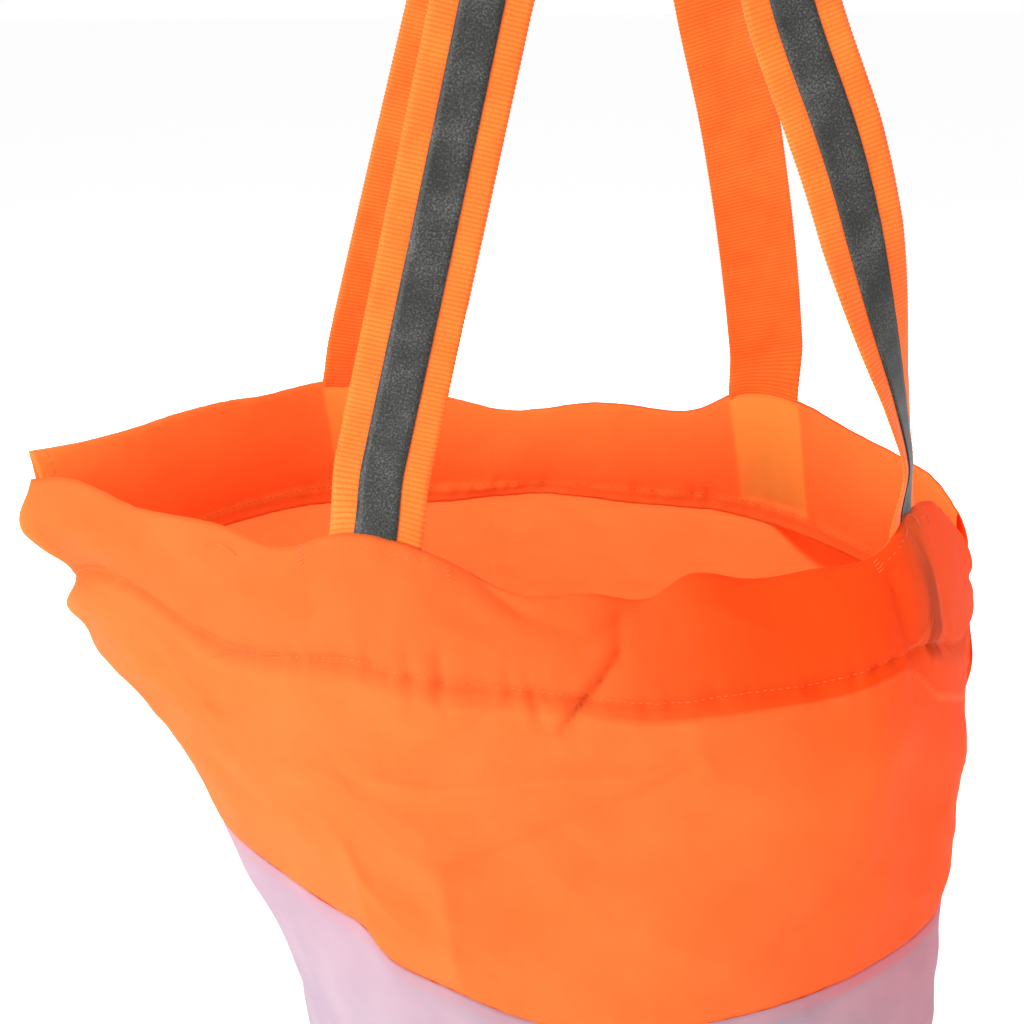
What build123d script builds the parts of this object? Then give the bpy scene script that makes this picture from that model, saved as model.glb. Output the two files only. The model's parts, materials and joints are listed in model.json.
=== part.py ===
from build123d import *
from collections import namedtuple
from math import asin, atan2, cos, hypot, pi, sin
import os

# A soft two-panel picking bag: a round base, a pale lower band, a bright upper band with a
# turned casing at the mouth, and two webbing handles that carry a reflective tape.
# Millimetres, +Z up, origin at the centre of the underside of the base.
# X runs from the left side seam to the right one, and -Y is the front.

# Cloth and webbing
cloth = 1.0                # modelled thickness of one layer of cloth
casing_gap = 4.0           # flat tunnel between the two layers of the mouth casing
casing_height = 50.0       # turned hem at the mouth
seam_allowance = 9.0       # upper cloth lapped inside the lower cloth under the band seam
lap_clearance = 0.1        # between the lap and the lower cloth
webbing_width = 38.0
webbing_thickness = 1.6
tape_width = 17.0
tape_thickness = 0.4
tape_lift = 0.1            # glue line between tape and webbing
tail_length = 46.0         # webbing sewn down inside the casing
tail_rise = 2.0            # how far a tail stands out of the casing
slit_play = 1.0            # each slit in the casing is this much larger than the tail

# Bag
rim_height = 395.0
base_radius = 166.0
band_seam_height = 202.0
band_seam_slope = 0.115    # the hanging bag carries the band seam higher on its left
root_spacing = 219.0       # between the two roots of one handle
root_middle = -14.5        # X halfway between the roots

# Handles
hinge_offsets = {"front": 90.0, "back": 94.0}  # fold lines, from the middle plane
hinge_rise = 8.0           # fold line above the rim
grip_offset = 22.0         # the two grips lie side by side at the top
grip_radius = 16.0
grip_rise = 365.0          # centre of the grip's bend above the fold line, along the handle
flat_share = 0.55          # share of each leg that stays flat before it turns into the grip
twist_steps = 8
grip_steps = 10

# Thread
stitch_length = 3.0
stitch_pitch = 4.5
thread_width = 0.5
thread_lift = 0.7          # middle of the thread stands this far off the cloth
rising_lift = 1.8          # the same, for seams that climb the curved wall
root_seam_drop = 4.0       # seam that closes the casing over a handle's tail
root_seam_reach = 31.0     # half the length of that seam
tack_height = 7.0          # thickened end of that seam
casing_end_inset = 10.0    # seam of each turned-in casing end, from the middle plane
side_gap = 6.0             # the casing is open at both side seams

# One horizontal or tilted ring of the bag. Reaches are measured from its middle, and the
# powers shape its two ends: 2 is an ellipse, less is pointed, more is square.
Level = namedtuple("Level", "height slope middle left right front back left_power right_power")
floor_level = Level(cloth, 0, 0, base_radius, base_radius, base_radius, base_radius, 2, 2)
skirt_level = floor_level._replace(height=95.0)
band_level = Level(band_seam_height, band_seam_slope, -19.5, 183, 183, 154, 144, 2.0, 2.1)
waist_level = Level(rim_height - 100, 0, -34.0, 205, 205, 127, 123, 1.85, 2.3)
hem_level = Level(rim_height - casing_height, 0, -40.0, 214, 215, 112, 113, 1.75, 2.6)
rim_level = Level(rim_height, 0, -44.5, 226, 217, 100, 105, 1.7, 2.8)
ring_steps = 32

sides = {"front": -1, "back": 1}
ends = {"left": -1, "right": 1}


def between(low, high, height):
    """The ring at a height on the straight wall between two levels."""
    share = (height - low.height) / (high.height - low.height)
    return Level(*[a + share * (b - a) for a, b in zip(low, high)])._replace(height=height)


lap_level = between(skirt_level, band_level, band_seam_height - seam_allowance)
lap_level = lap_level._replace(slope=band_seam_slope)
ledge_level = band_level._replace(height=band_seam_height + 2 * cloth)
tunnel_floor = between(hem_level, rim_level, hem_level.height + cloth)
tunnel_roof = between(hem_level, rim_level, rim_height - cloth)
mouth_level = between(hem_level, rim_level, rim_height + cloth)
root_seam_level = between(hem_level, rim_level, rim_height - root_seam_drop)
base_seam_level = between(floor_level, skirt_level, 5 * cloth)
tail_foot = between(hem_level, rim_level, rim_height - tail_length)
tail_head = between(hem_level, rim_level, rim_height + tail_rise)


def signed_power(value, power):
    return (1 if value >= 0 else -1) * abs(value) ** power


def ring_point(level, angle, inset):
    """Point and outward direction on a ring, in the ring's own plane, moved inwards by inset."""
    across = level.right if cos(angle) >= 0 else level.left
    deep = level.back if sin(angle) >= 0 else level.front
    power = level.right_power if cos(angle) >= 0 else level.left_power
    x = signed_power(cos(angle), 2 / power)
    y = signed_power(sin(angle), 2 / power)
    outward = Vector(signed_power(x, power - 1) / across, signed_power(y, power - 1) / deep).normalized()
    return Vector(across * x, deep * y) - outward * inset, outward


def level_plane(level):
    return Plane((level.middle, 0, level.height), x_dir=(1, 0, -level.slope), z_dir=(level.slope, 0, 1))


def block_between(inset, *levels):
    """The bag's form between its lowest and highest given level, walls moved in by inset."""
    with BuildPart() as block:
        for level in levels:
            points = [ring_point(level, 2 * pi * step / ring_steps, inset)[0] for step in range(ring_steps)]
            with BuildSketch(level_plane(level)):
                with BuildLine():
                    Spline(*points, periodic=True)
                make_face()
        loft()
    return block.part


def wall_plane(x, side, inset):
    """Plane in the casing wall at x: its x runs along the rim, its y up and its z outwards."""
    foot = wall_point(hem_level, x, side, inset)
    head = wall_point(rim_level, x, side, inset)
    beside = wall_point(rim_level, x + cloth, side, inset)
    along = (beside - head).normalized() * -side
    return Plane(head, x_dir=along, z_dir=along.cross(head - foot))


def wall_point(level, x, side, inset):
    """Point of a level's ring at x on the front (side -1) or the back (side 1)."""
    across = level.right if x > level.middle else level.left
    deep = level.back if side > 0 else level.front
    power = level.right_power if x > level.middle else level.left_power
    share = (1 - abs((x - level.middle) / across) ** power) ** (1 / power)
    return Vector(x, side * (deep * share - inset), level.height)


def root_x(end):
    return root_middle + end * root_spacing / 2


def upper_cloth():
    """Upper band: outer wall, the lap inside the band seam and the double-layer casing."""
    with BuildPart() as cut:
        add(block_between(2 * cloth, lap_level._replace(height=lap_level.height - cloth), ledge_level))
        add(block_between(cloth, ledge_level, waist_level, hem_level))
        add(block_between(2 * cloth + casing_gap, hem_level, mouth_level))
    with BuildPart() as tunnel:
        add(block_between(cloth, tunnel_floor, tunnel_roof))
        add(block_between(cloth + casing_gap, tunnel_floor, tunnel_roof), mode=Mode.SUBTRACT)
    slits = [root_plane(side, end) for side in sides.values() for end in ends.values()]
    with BuildPart() as band:
        add(block_between(cloth + lap_clearance, lap_level, band_level))
        add(block_between(0, band_level, waist_level, hem_level))
        add(block_between(0, hem_level, rim_level))
        add(cut.part, mode=Mode.SUBTRACT)
        add(tunnel.part, mode=Mode.SUBTRACT)
        with Locations((root_middle, 0, hem_level.height + casing_height / 2)):
            Box(4 * base_radius, side_gap, casing_height, mode=Mode.SUBTRACT)
        with Locations(*slits):
            Box(webbing_width + slit_play, 4 * cloth, casing_gap, mode=Mode.SUBTRACT)
    return band.part


def lower_cloth():
    with BuildPart() as band:
        add(block_between(0, floor_level, skirt_level, lap_level, band_level))
        add(block_between(cloth, floor_level, skirt_level, lap_level, band_level), mode=Mode.SUBTRACT)
    return band.part


def root_plane(side, end):
    return wall_plane(root_x(end), side, cloth + casing_gap / 2)


def write(part, name):
    part.label = name
    export_step(part, f"parts/{name}.step")


def write_panels():
    """Each band is a front and a back panel that meet at the side seams."""
    for band_name, band in {"upper": upper_cloth(), "lower": lower_cloth()}.items():
        for side_name, side in sides.items():
            with BuildPart() as panel:
                add(band)
                split(bisect_by=Plane.XZ, keep=Keep.TOP if side < 0 else Keep.BOTTOM)
            write(panel.part, f"{side_name}_{band_name}_panel")


def write_base():
    with BuildPart() as base_panel:
        Cylinder(base_radius, cloth, align=(Align.CENTER, Align.CENTER, Align.MIN))
    write(base_panel.part, "base_panel")


def tail_layer(inset, thickness):
    """A layer of the casing, as tall as the tails, at a depth behind the outer face."""
    with BuildPart() as layer:
        add(block_between(inset, tail_foot, tail_head))
        add(block_between(inset + thickness, tail_foot, tail_head), mode=Mode.SUBTRACT)
    return layer.part


def write_tails():
    """The ends of the webbing and of its tape, sewn between the two layers of the casing."""
    webbing_depth = cloth + (casing_gap - webbing_thickness) / 2
    tape_depth = webbing_depth - tape_lift - tape_thickness
    webbing_layer = tail_layer(webbing_depth, webbing_thickness)
    tape_layer = tail_layer(tape_depth, tape_thickness)
    for side_name, side in sides.items():
        for end_name, end in ends.items():
            with BuildPart() as strap_tail:
                add(webbing_layer)
                with Locations(root_plane(side, end)):
                    Box(webbing_width, 4 * tail_length, webbing_width, mode=Mode.INTERSECT)
            write(strap_tail.part, f"{side_name}_{end_name}_strap_tail")
            with BuildPart() as tape_tail:
                add(tape_layer)
                with Locations(root_plane(side, end)):
                    Box(tape_width, 4 * tail_length, webbing_width, mode=Mode.INTERSECT)
            write(tape_tail.part, f"{side_name}_{end_name}_tape_tail")


def handle_stations(side, hinge_offset):
    """Planes along one handle: x across the webbing, y away from its taped face or towards it."""
    lean = asin((hinge_offset - grip_offset) / grip_rise)
    foot = Vector(root_middle, side * hinge_offset, rim_height + hinge_rise)
    across = Vector(1, 0, 0)
    upward = Vector(0, -side * sin(lean), cos(lean))
    outward = Vector(0, side * cos(lean), sin(lean))
    half = root_spacing / 2
    slant = atan2(half, grip_rise) - asin(grip_radius / hypot(half, grip_rise))
    leg = hypot(half - grip_radius * cos(slant), grip_rise + grip_radius * sin(slant))
    legs = {}
    for end in ends.values():
        along = upward * cos(slant) - across * (end * sin(slant))
        width = across * cos(slant) + upward * (end * sin(slant))
        legs[end] = []
        for turned in [None] + [step / twist_steps for step in range(twist_steps + 1)]:
            share = 0 if turned is None else flat_share + (1 - flat_share) * turned
            turn = pi / 2 * (turned or 0)
            place = foot + across * (end * half) + along * (share * leg)
            facing = outward * sin(turn) - width * (end * cos(turn))
            legs[end].append(Plane(place, x_dir=facing, z_dir=along * -end))
    bend = []
    for step in range(1, grip_steps):
        angle = (pi / 2 - slant) * (1 - 2 * step / grip_steps)
        radial = upward * cos(angle) - across * sin(angle)
        travel = across * cos(angle) + upward * sin(angle)
        place = foot + upward * grip_rise + radial * grip_radius
        bend.append(Plane(place, x_dir=outward, z_dir=travel))
    return legs[-1] + bend + legs[1][::-1]


def band_along(stations, width, thickness, offset):
    """A flat band through the stations, its middle offset along their y."""
    with BuildPart() as band:
        for station in stations:
            with BuildSketch(station):
                with Locations((0, offset)):
                    Rectangle(width, thickness)
        loft(ruled=True)
    return band.part


def write_handles():
    tape_offset = webbing_thickness / 2 + tape_lift + tape_thickness / 2
    for side_name, side in sides.items():
        stations = handle_stations(side, hinge_offsets[side_name])
        strap = band_along(stations, webbing_width, webbing_thickness, 0)
        write(strap, f"{side_name}_strap")
        tape = band_along(stations, tape_width, tape_thickness, side * tape_offset)
        write(tape, f"{side_name}_reflective_tape")


def outside(level, angle, lift):
    """A point outside the cloth on a ring, in the bag's own frame."""
    return level_plane(level).from_local_coords(ring_point(level, angle, -lift)[0])


def ring_edge(level, lift=thread_lift):
    points = [outside(level, 2 * pi * step / ring_steps, lift) for step in range(ring_steps)]
    with BuildLine() as ring:
        Spline(*points, periodic=True)
    return ring.edge()


def rising_edge(angles, rising_levels):
    """A line that climbs through the levels, at one angle for each."""
    points = [outside(level, angle, rising_lift) for level, angle in zip(rising_levels, angles)]
    with BuildLine() as line:
        Spline(*points)
    return line.edge()


def stitches(edges, wanted=lambda place: True):
    """Separate stitches along the edges, where their place is wanted."""
    places = []
    for edge in edges:
        count = round(edge.length / stitch_pitch)
        places += [edge.location_at((step + 0.5) / count) for step in range(count)]
    with BuildPart() as row:
        with Locations(*[place for place in places if wanted(place.position)]):
            Box(thread_width, thread_width, stitch_length)
    return row.part


def write_ring_seams():
    """The casing hem and the band seam, one thread for each panel, and the base seam."""
    for seam_name, level in {"hem": hem_level, "band": band_level}.items():
        for side_name, side in sides.items():
            row = stitches([ring_edge(level)], lambda place: place.Y * side > stitch_length)
            write(row, f"{side_name}_{seam_name}_stitches")
    write(stitches([ring_edge(base_seam_level, rising_lift)]), "base_stitches")


def write_side_seams():
    lower_levels = [floor_level, skirt_level, lap_level, band_level]
    upper_levels = [band_level, waist_level, hem_level]
    clear_of_edges = lambda place: 3 * cloth < place.Z < hem_level.height - stitch_length
    for end_name, angle in {"left": pi, "right": 0.0}.items():
        lower_edge = rising_edge([angle] * len(lower_levels), lower_levels)
        upper_edge = rising_edge([angle] * len(upper_levels), upper_levels)
        write(stitches([lower_edge, upper_edge], clear_of_edges), f"{end_name}_side_stitches")


def end_angle(level, side, end):
    """Angle at which a ring stands casing_end_inset away from the middle plane."""
    deep = level.back if side > 0 else level.front
    power = level.right_power if end > 0 else level.left_power
    slant = asin((casing_end_inset / deep) ** (power / 2))
    return side * (slant if end > 0 else pi - slant)


def write_casing_ends():
    """The short upright seam that holds each turned-in end of the casing."""
    middle_level = between(hem_level, rim_level, rim_height - casing_height / 2)
    end_levels = [tunnel_floor, middle_level, root_seam_level]
    for side_name, side in sides.items():
        edges = []
        for end in ends.values():
            edges.append(rising_edge([end_angle(level, side, end) for level in end_levels], end_levels))
        write(stitches(edges), f"{side_name}_casing_end_stitches")


def write_root_seams():
    """The seam across the casing over each tail, with a tack at both its ends."""
    for side_name, side in sides.items():
        for end_name, end in ends.items():
            middle = root_x(end)
            over_tail = lambda place: place.Y * side > 0 and abs(place.X - middle) < root_seam_reach
            with BuildPart() as seam:
                add(stitches([ring_edge(root_seam_level)], over_tail))
                for reach in (-root_seam_reach - stitch_length, root_seam_reach + stitch_length):
                    with Locations(wall_plane(middle + reach, side, -thread_lift)):
                        with Locations((0, -root_seam_drop - tack_height / 2, 0)):
                            Box(2 * thread_width, tack_height, thread_width)
            write(seam.part, f"{side_name}_{end_name}_root_stitches")


os.makedirs("parts", exist_ok=True)
write_base()
write_panels()
write_tails()
write_handles()
write_ring_seams()
write_side_seams()
write_casing_ends()
write_root_seams()
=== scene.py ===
import json
from math import asin, atan2, cos, hypot, pi, radians, sin

import bpy
import numpy as np
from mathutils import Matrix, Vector, noise


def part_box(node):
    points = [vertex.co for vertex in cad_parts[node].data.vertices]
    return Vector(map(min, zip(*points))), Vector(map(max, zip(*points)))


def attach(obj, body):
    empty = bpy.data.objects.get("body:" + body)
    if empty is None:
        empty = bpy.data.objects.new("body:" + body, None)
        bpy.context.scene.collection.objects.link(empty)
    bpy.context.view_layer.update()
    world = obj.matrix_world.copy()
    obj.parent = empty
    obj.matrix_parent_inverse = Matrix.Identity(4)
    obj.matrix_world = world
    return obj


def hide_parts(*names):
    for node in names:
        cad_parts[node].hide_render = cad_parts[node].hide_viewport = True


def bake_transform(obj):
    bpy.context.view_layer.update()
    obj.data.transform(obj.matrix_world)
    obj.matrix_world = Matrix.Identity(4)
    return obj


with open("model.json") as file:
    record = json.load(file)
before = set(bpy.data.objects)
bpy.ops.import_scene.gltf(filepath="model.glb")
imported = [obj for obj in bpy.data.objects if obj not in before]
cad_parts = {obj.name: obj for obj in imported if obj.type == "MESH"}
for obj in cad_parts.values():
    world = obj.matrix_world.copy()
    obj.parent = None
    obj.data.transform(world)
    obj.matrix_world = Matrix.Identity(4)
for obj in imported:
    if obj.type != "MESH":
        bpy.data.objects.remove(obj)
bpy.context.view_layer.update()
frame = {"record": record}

# Lengths in the lists below are millimetres from the middle of the mouth: X to the right side
# seam, Y to the back, Z up from the rim.
MM = 0.001
SIDES = {"front": -1, "back": 1}
ENDS = {"left": -1, "right": 1}
left_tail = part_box("front_left_strap_tail")
right_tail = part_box("front_right_strap_tail")
rim_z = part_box("front_upper_panel")[1].z
mouth = np.array([(left_tail[0].x + right_tail[1].x) / 2, 0.0, rim_z])
floor_mm = -rim_z / MM
base_radius = (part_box("base_panel")[1].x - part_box("base_panel")[0].x) / 2 / MM
base_x = -mouth[0] / MM

# Cloth heights, measured up the cloth from the band seam
BASE_EDGE, SKIRT, BAND_SEAM, HEM, RIM = -195.0, -100.0, 0.0, 155.0, 205.0
# The upper cloth ends this far past the band seam, and its facing as far past the hem
LAP = -9.0
CASING = RIM - HEM
FACING_EDGE = HEM + LAP
# On the casing's inner layer, heights go on past the rim
INNER_HEM = 2 * RIM - HEM
PANEL_WIDTH = 525.0
HALF = PANEL_WIDTH / 2
CLOTH_THICKNESS = 0.35
columns = 263
row_step = 2.0


# ---------------------------------------------------------------- curves and grids

def spline(knots, values, at):
    """Natural cubic spline through values, whose first axis follows the knots."""
    knots = np.asarray(knots, float)
    values = np.asarray(values, float)
    at = np.asarray(at, float)
    n = len(knots)
    h = np.diff(knots)
    flat = values.reshape(n, -1)
    system = np.eye(n)
    right = np.zeros_like(flat)
    for i in range(1, n - 1):
        system[i, i - 1:i + 2] = h[i - 1], 2 * (h[i - 1] + h[i]), h[i]
        right[i] = 6 * ((flat[i + 1] - flat[i]) / h[i] - (flat[i] - flat[i - 1]) / h[i - 1])
    bend = np.linalg.solve(system, right)
    j = np.clip(np.searchsorted(knots, at) - 1, 0, n - 2)
    a = ((knots[j + 1] - at) / h[j])[:, None]
    b = ((at - knots[j]) / h[j])[:, None]
    result = a * flat[j] + b * flat[j + 1]
    result += ((a ** 3 - a) * bend[j] + (b ** 3 - b) * bend[j + 1]) * (h[j] ** 2)[:, None] / 6
    return result.reshape((len(at),) + values.shape[1:])


def lengths(points):
    return np.concatenate([[0], np.cumsum(np.linalg.norm(np.diff(points, axis=0), axis=1))])


def even(points, count):
    """The same line with evenly spaced points."""
    along = lengths(points)
    at = np.linspace(0, along[-1], count)
    return np.stack([np.interp(at, along, points[:, axis]) for axis in range(3)], axis=1)


def ring(points, count):
    points = np.array(points, float)
    knots = lengths(points)
    return even(spline(knots, points, np.linspace(0, knots[-1], 900)), count)


def smooth_step(x):
    x = np.clip(x, 0, 1)
    return x * x * (3 - 2 * x)


def bump(x, middle, width):
    return np.exp(-((x - middle) / width) ** 2)


# ---------------------------------------------------------------- the shape the bag hangs in

RIM_LINE = {
    "front": [
        (-252, -7, 2), (-237, -15, 5), (-209, -38, 0), (-167, -70, 0), (-143, -84, -4),
        (-127, -91, 3), (-93, -98, -1), (-70, -101, -13), (-52, -103, -22), (-22, -104, -23),
        (2, -104, -26), (15, -103, -18), (40, -102, -21), (72, -101, -19), (97, -98, -16),
        (112, -88, -7), (124, -69, -8), (144, -45, -15), (163, -27, -31), (180, -10, -50),
    ],
    "back": [
        (-256, 5, 11), (-228, 20, 11), (-178, 55, 14), (-149, 75, 12), (-126, 91, 12),
        (-93, 99, 6), (-59, 104, -3), (-27, 105, -12), (13, 106, -10), (44, 105, -13),
        (76, 101, -14), (93, 96, -5), (124, 92, -8), (148, 80, -20), (171, 60, -30),
        (184, 35, -37), (187, 12, -46),
    ],
}
HEM_LINE = {
    "front": [
        (-237, 0.1, -48), (-229, -18, -38), (-213, -34, -39), (-179, -63, -53), (-147, -86, -53),
        (-118, -102, -49), (-99, -110, -52), (-63, -116, -57), (-30, -119, -62), (5, -121, -67),
        (41, -121, -65), (75, -119, -63), (98, -115, -59), (118, -100, -60), (140, -78, -70),
        (168, -42, -90), (189, 0.1, -102),
    ],
    "back": [
        (-237, -0.1, -48), (-210, 36, -46), (-178, 66, -46), (-126, 102, -50), (-72, 112, -56),
        (-1, 113, -57), (50, 111, -64), (99, 106, -70), (125, 100, -76), (155, 84, -86),
        (180, 45, -94), (189, -0.1, -102),
    ],
}
BAND_LINE = {
    "front": [
        (-190, 0.1, -160), (-180, -50, -157), (-152, -92, -157), (-133, -116, -157),
        (-120, -131, -158), (-113, -138, -165), (-95, -147, -173), (-59, -157, -188),
        (22, -158, -199), (93, -131, -206), (132, -104, -212), (152, -86, -214), (172, -45, -215),
        (177, 0.1, -214),
    ],
    "back": [
        (-190, -0.1, -160), (-174, 60, -168), (-130, 108, -180), (-70, 138, -187),
        (-5, 146, -195), (60, 138, -202), (120, 112, -208), (165, 60, -213), (177, -0.1, -214),
    ],
}


SKIRT_HEIGHT = -300
BASE_RISE = 0.6
BASE_INSET = 1.5


def round_line(side, height, radius):
    """Half of a round ring below the band seam."""
    points = []
    for step in range(13):
        angle = pi * step / 12
        points.append((base_x - radius * cos(angle), side * radius * sin(angle), height))
    return points


def panel_rings(name):
    side = SIDES[name]
    skirt = round_line(side, SKIRT_HEIGHT, base_radius)
    edge = round_line(side, floor_mm + BASE_RISE, base_radius - BASE_INSET)
    lines = [edge, skirt, BAND_LINE[name], HEM_LINE[name], RIM_LINE[name]]
    return np.stack([ring(line, columns) for line in lines])


def wall(name, heights):
    """Points of one side of the bag, one row for each cloth height."""
    knots = [BASE_EDGE, SKIRT, BAND_SEAM, HEM, RIM]
    grid = spline(knots, panel_rings(name), heights)
    return casing_ends(name, grid, np.asarray(heights))


# Swellings of the wall beside its side seams: middle and half height on the cloth, and reach
# from the seam
SWELLINGS = {
    "flare": (184, 16, 30),
    "lip": (136, 14, 22),
    "body": (95, 46, 45),
    "waist": (-50, 32, 60),
    "right_body": (130, 32, 45),
}
# How far each stands out
CASING_FLARE = {"front": 14, "back": 3}
LIP = {"front": 9, "back": 6}
BODY_BULGE = {"front": 16, "back": 13}
WAIST = 12
RIGHT_BULGE = 9
# Lumps down the right seam: relative size, middle and half height
RIGHT_LUMPS = [(1.0, 193, 9), (-1.4, 183, 4), (0.8, 166, 12), (2.2, 98, 12)]
RIGHT_LUMP, RIGHT_LUMP_REACH = 2, 25


def swelling(kind, h, from_seam):
    middle, width, reach = SWELLINGS[kind]
    return bump(h, middle, width) * np.exp(-from_seam / reach)


def casing_ends(name, grid, heights):
    """The casing's open ends stand out past the side seams, over a small notch."""
    from_left = np.linspace(0, PANEL_WIDTH, columns)[None, :]
    from_right = PANEL_WIDTH - from_left
    h = heights[:, None]
    left = (CASING_FLARE[name] * swelling("flare", h, from_left)
            + LIP[name] * swelling("lip", h, from_left)
            + BODY_BULGE[name] * swelling("body", h, from_left)
            - WAIST * swelling("waist", h, from_left))
    right_lump = sum(size * bump(h, middle, width) for size, middle, width in RIGHT_LUMPS)
    right = RIGHT_BULGE * swelling("right_body", h, from_right)
    right = right + RIGHT_LUMP * right_lump * np.exp(-from_right / RIGHT_LUMP_REACH)
    grid[..., 0] -= left
    grid[..., 0] += right
    return grid


def normals(grid, side):
    """Outward normals of a grid whose rows go up the cloth."""
    across = np.gradient(grid, axis=1)
    upward = np.gradient(grid, axis=0)
    out = np.cross(across, upward) * -side
    return out / np.linalg.norm(out, axis=2, keepdims=True)


# ---------------------------------------------------------------- wrinkles

ROUGHNESS, LACUNARITY = 0.9, 2.1


def rough(s, h, scale, seed, octaves=3):
    """Noise over the cloth, about -1 to 1."""
    s, h = np.broadcast_arrays(s, h)
    values = [noise.fractal(Vector((x / scale[0], y / scale[1], seed)), ROUGHNESS, LACUNARITY, octaves)
              for x, y in zip(s.ravel(), h.ravel())]
    return np.array(values).reshape(s.shape)


def fold(s, h, start, end, left, right, height):
    """A sharp ridge, or a valley if the height is negative, between two places on the cloth.

    left and right are how far its two flanks reach, looking from start to end."""
    along_s, along_h = end[0] - start[0], end[1] - start[1]
    long = hypot(along_s, along_h)
    along = ((s - start[0]) * along_s + (h - start[1]) * along_h) / long ** 2
    off = ((s - start[0]) * along_h - (h - start[1]) * along_s) / long
    taper = np.sin(np.clip(along, 0, 1) * pi) ** 0.5
    reach = np.where(off < 0, left, right)
    return height * taper * (np.exp(-np.abs(off) / reach) - 0.3 * np.exp(-(off / (3 * reach)) ** 2))


def seam_fade(s, h):
    """Relief dies away where front and back are sewn together; the casing's ends are free."""
    from_seam = HALF - np.abs(s)
    return np.maximum(smooth_step(from_seam / 14), smooth_step((h - HEM - 2) / 6))


def puckers(s, h, line, pitch, height, seed):
    """Small gathers across a seam at one cloth height."""
    gather = 1.6 * np.abs(rough(s, h * 0 + line, (pitch, 50), seed, 2)) - 0.6
    slow = rough(s, h * 0 + line, (60, 50), seed + 3, 1)
    return height * gather * (0.7 + 0.6 * slow) * np.exp(-np.abs(h - line) / 7)


FOLDS = {
    # start, end, reach of the left and right flanks, height
    "front": [
        ((-72, 66), (-70, -8), 18, 12, 5.2),
        ((-76, 60), (32, 128), 7, 16, -5.2),
        ((-114, 95), (38, 128), 16, 6, 5.2),
        ((-114, 90), (-36, 156), 9, 14, -3.4),
        ((-128, 52), (-80, 16), 8, 8, 2.2),
        ((-108, 36), (-113, -4), 7, 7, 1.8),
        ((-25, 136), (8, 182), 2.4, 4.5, -7.2),
        ((4, 172), (12, 200), 3, 6, -3.0),
        ((-52, 120), (-14, 148), 8, 8, -2.4),
        ((-54, 207), (-2, 184), 5, 8, -3.4),
        ((-4, 184), (26, 205), 6, 4, -3.4),
        ((26, 204), (70, 182), 9, 9, 1.6),
        ((60, 176), (122, 182), 8, 8, -1.6),
        ((129, 198), (126, 158), 4, 6, -4.4),
        ((150, 208), (166, 186), 5, 8, -3.4),
        ((170, 196), (184, 150), 8, 8, -2.2),
        ((90, 70), (160, 20), 14, 14, 2.8),
        ((60, 30), (120, 60), 12, 10, -2.2),
        ((-190, 196), (-120, 176), 10, 10, 1.6),
        ((-150, 186), (-96, 196), 7, 9, -2.2),
        ((-86, 186), (-40, 172), 9, 9, 1.9),
        ((-215, 146), (-160, 92), 10, 14, 1.6),
        ((-210, 80), (-150, 70), 14, 14, -1.4),
        ((-20, 60), (60, 20), 16, 16, 2.2),
        ((200, 120), (226, 40), 10, 12, 2.4),
        ((-70, 144), (-68, 168), 2.5, 2.5, -3.0),
        ((-31, 136), (-33, 160), 2.5, 3, -2.6),
        ((-100, 148), (-97, 166), 2.5, 2.5, -2.0),
        ((44, 146), (40, 166), 3, 3, -2.4),
        ((86, 144), (84, 162), 3, 3, -2.0),
    ],
    "back": [
        ((-150, 120), (30, 64), 12, 12, 1.6),
        ((52, 206), (36, 160), 5, 7, -2.6),
        ((84, 150), (150, 20), 10, 14, -1.6),
        ((-60, 36), (20, -6), 10, 10, 1.2),
        ((-26, 150), (-22, 60), 5, 10, 3.0),
        ((20, 140), (60, 80), 8, 8, -1.6),
        ((-90, 200), (-60, 168), 7, 7, 1.4),
        ((-220, 110), (-130, 40), 14, 14, 1.2),
        ((150, 140), (210, 60), 14, 14, 1.2),
    ],
}


UPPER_SEEDS = {"front": 11.0, "back": 31.0}
LOWER_SEEDS = {"front": 51.0, "back": 61.0}
INNER_SEED = 7.0


def relief(name, s, h, inner=False):
    """How far the upper cloth stands out of the smooth wall, in millimetres."""
    seed = UPPER_SEEDS[name] + (INNER_SEED if inner else 0.0)
    calm = smooth_step((h - LAP) / 40) * (1 - 0.6 * smooth_step((h - HEM + 5) / 20))
    result = 2.4 * calm * rough(s, h, (95, 70), seed)
    result += 0.5 * rough(s, h, (22, 16), seed + 1)
    result += 0.12 * rough(s, h, (5, 5), seed + 2, 2)
    if not inner:
        for start, end, left, right, height in FOLDS[name]:
            result += fold(s, h, start, end, left, right, height) * smooth_step(h / 10 + 0.1)
    result += puckers(s, h, HEM, 10.0, 3.0, seed + 4)
    result += puckers(s, h, BAND_SEAM, 15.0, 1.0, seed + 5)
    result += puckers(s, h, RIM, 14.0, 0.8, seed + 6)
    result -= 1.8 * bump(h, HEM, 2.6) + 0.8 * bump(h, BAND_SEAM, 2.5)
    return result * seam_fade(s, h)


def casing_swell(h):
    """Roundness of the casing between its hem seam and its fold."""
    t = np.clip((h - HEM) / CASING, 0, 1)
    return np.sin(pi * t) ** 0.7


def cloth_coordinates(rows):
    """Place s across the cloth, from its middle, and height h up it, for a grid of the rows."""
    return np.linspace(-HALF, HALF, columns)[None, :], np.asarray(rows, float)[:, None]


OUTER_SWELL, INNER_SWELL = 3.6, 4.2
LAYER_GAP, LEAST_GAP = 0.8, 0.7
INNER_RELIEF = 0.7
LAP_TUCK = 1.0


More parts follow.
